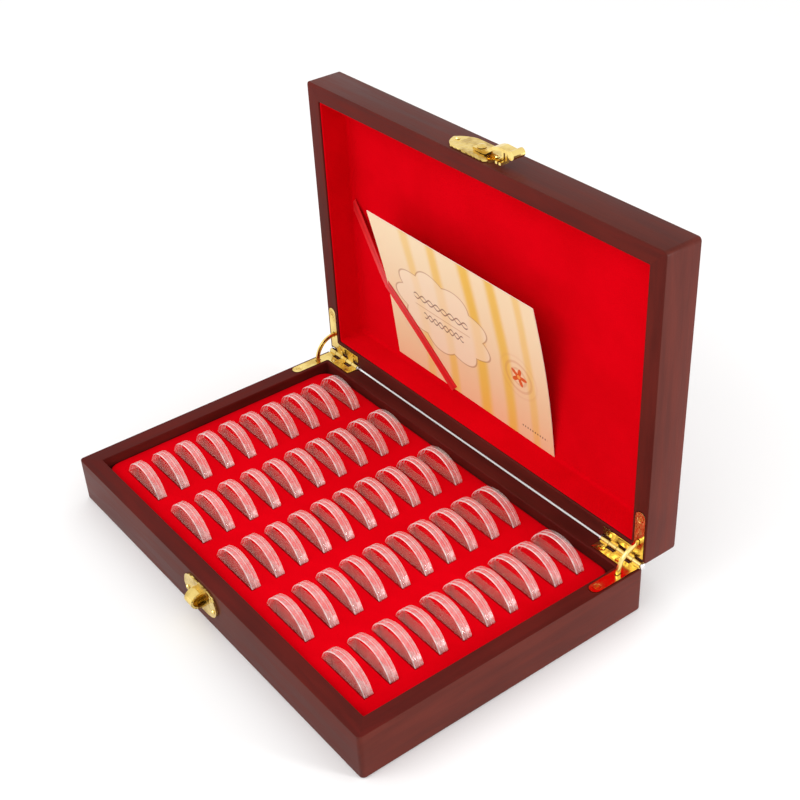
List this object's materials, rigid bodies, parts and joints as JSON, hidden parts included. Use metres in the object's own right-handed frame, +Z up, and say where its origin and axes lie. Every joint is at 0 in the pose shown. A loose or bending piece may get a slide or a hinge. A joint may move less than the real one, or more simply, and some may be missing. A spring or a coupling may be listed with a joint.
{
  "type": "coin display case",
  "caption": "Hinged lacquered wooden case with a slotted flocked tray of clear coin capsules, a lined lid with a card under a ribbon, corner hinges and a side-swing clasp.",
  "frame": {"origin": "centre of the case's underside, on the bottom panel", "axes": "+X to the right seen from the front, +Y from the front to the hinged back, +Z up; the lid stands open at 90 degrees"},
  "size_m": [0.335, 0.2524, 0.2609],
  "materials": {
    "lacquered_wood": "satin mahogany lacquer",
    "bottom_board": "stained board",
    "red_flock": "red flocking",
    "clear_capsule": "clear polished plastic",
    "card_paper": "printed cream card",
    "satin_ribbon": "red satin",
    "steel_pin": "bright",
    "polished_brass": "polished"
  },
  "bodies": {
    "base": {"base_front_rail": "lacquered_wood", "base_back_rail": "lacquered_wood", "base_left_rail": "lacquered_wood", "base_right_rail": "lacquered_wood", "base_bottom_panel": "bottom_board", "slotted_tray_insert": "red_flock", "capsule_column_1": "clear_capsule", "capsule_column_2": "clear_capsule", "capsule_column_3": "clear_capsule", "capsule_column_4": "clear_capsule", "capsule_column_5": "clear_capsule", "catch_plate": "polished_brass", "catch_nail_1": "polished_brass", "catch_nail_2": "polished_brass", "left_hinge_base_leaf": "polished_brass", "left_hinge_pin": "steel_pin", "left_hinge_base_screw_1": "polished_brass", "left_hinge_base_screw_2": "polished_brass", "left_hinge_base_screw_3": "polished_brass", "right_hinge_base_leaf": "polished_brass", "right_hinge_pin": "steel_pin", "right_hinge_base_screw_1": "polished_brass", "right_hinge_base_screw_2": "polished_brass", "right_hinge_base_screw_3": "polished_brass"},
    "lid": {"lid_front_rail": "lacquered_wood", "lid_back_rail": "lacquered_wood", "lid_left_rail": "lacquered_wood", "lid_right_rail": "lacquered_wood", "lid_top_panel": "lacquered_wood", "lid_lining": "red_flock", "lid_clasp_plate": "polished_brass", "lid_clasp_nail_1": "polished_brass", "lid_clasp_nail_2": "polished_brass", "clasp_rivet": "polished_brass", "left_hinge_lid_leaf": "polished_brass", "left_hinge_lid_screw_1": "polished_brass", "left_hinge_lid_screw_2": "polished_brass", "left_hinge_lid_screw_3": "polished_brass", "right_hinge_lid_leaf": "polished_brass", "right_hinge_lid_screw_1": "polished_brass", "right_hinge_lid_screw_2": "polished_brass", "right_hinge_lid_screw_3": "polished_brass"},
    "left_stay": {"left_hinge_stay": "polished_brass"},
    "right_stay": {"right_hinge_stay": "polished_brass"},
    "card": {"certificate_card": "card_paper", "card_ribbon": "satin_ribbon"},
    "clasp": {"clasp_lever": "polished_brass"}
  },
  "joints": [
    {"name": "lid_hinge", "type": "hinge", "parent": "base", "child": "lid", "pos_m": [0, 0.1075, 0.0336], "axis": [1, 0, 0], "range_deg": [0, 90]},
    {"name": "left_stay_swing", "type": "hinge", "parent": "base", "child": "left_stay", "pos_m": [-0.1615, 0.1075, 0.0336], "axis": [1, 0, 0], "range_deg": [0, 45]},
    {"name": "right_stay_swing", "type": "hinge", "parent": "base", "child": "right_stay", "pos_m": [0.1615, 0.1075, 0.0336], "axis": [1, 0, 0], "range_deg": [0, 45]},
    {"name": "card_lean", "type": "hinge", "parent": "lid", "child": "card", "pos_m": [-0.0215, 0.1294, 0.0501], "axis": [-1, 0, 0], "range_deg": [0, 10.7]},
    {"name": "clasp_swing", "type": "hinge", "parent": "lid", "child": "clasp", "pos_m": [0.006, 0.1181, 0.2486], "axis": [0, 0, -1], "range_deg": [0, 90]}
  ],
  "couplings": [
    {"joint": "left_stay_swing", "follows": "lid_hinge", "ratio": 0.5},
    {"joint": "right_stay_swing", "follows": "lid_hinge", "ratio": 0.5},
    {"joint": "card_lean", "follows": "lid_hinge", "ratio": 0.1188}
  ]
}
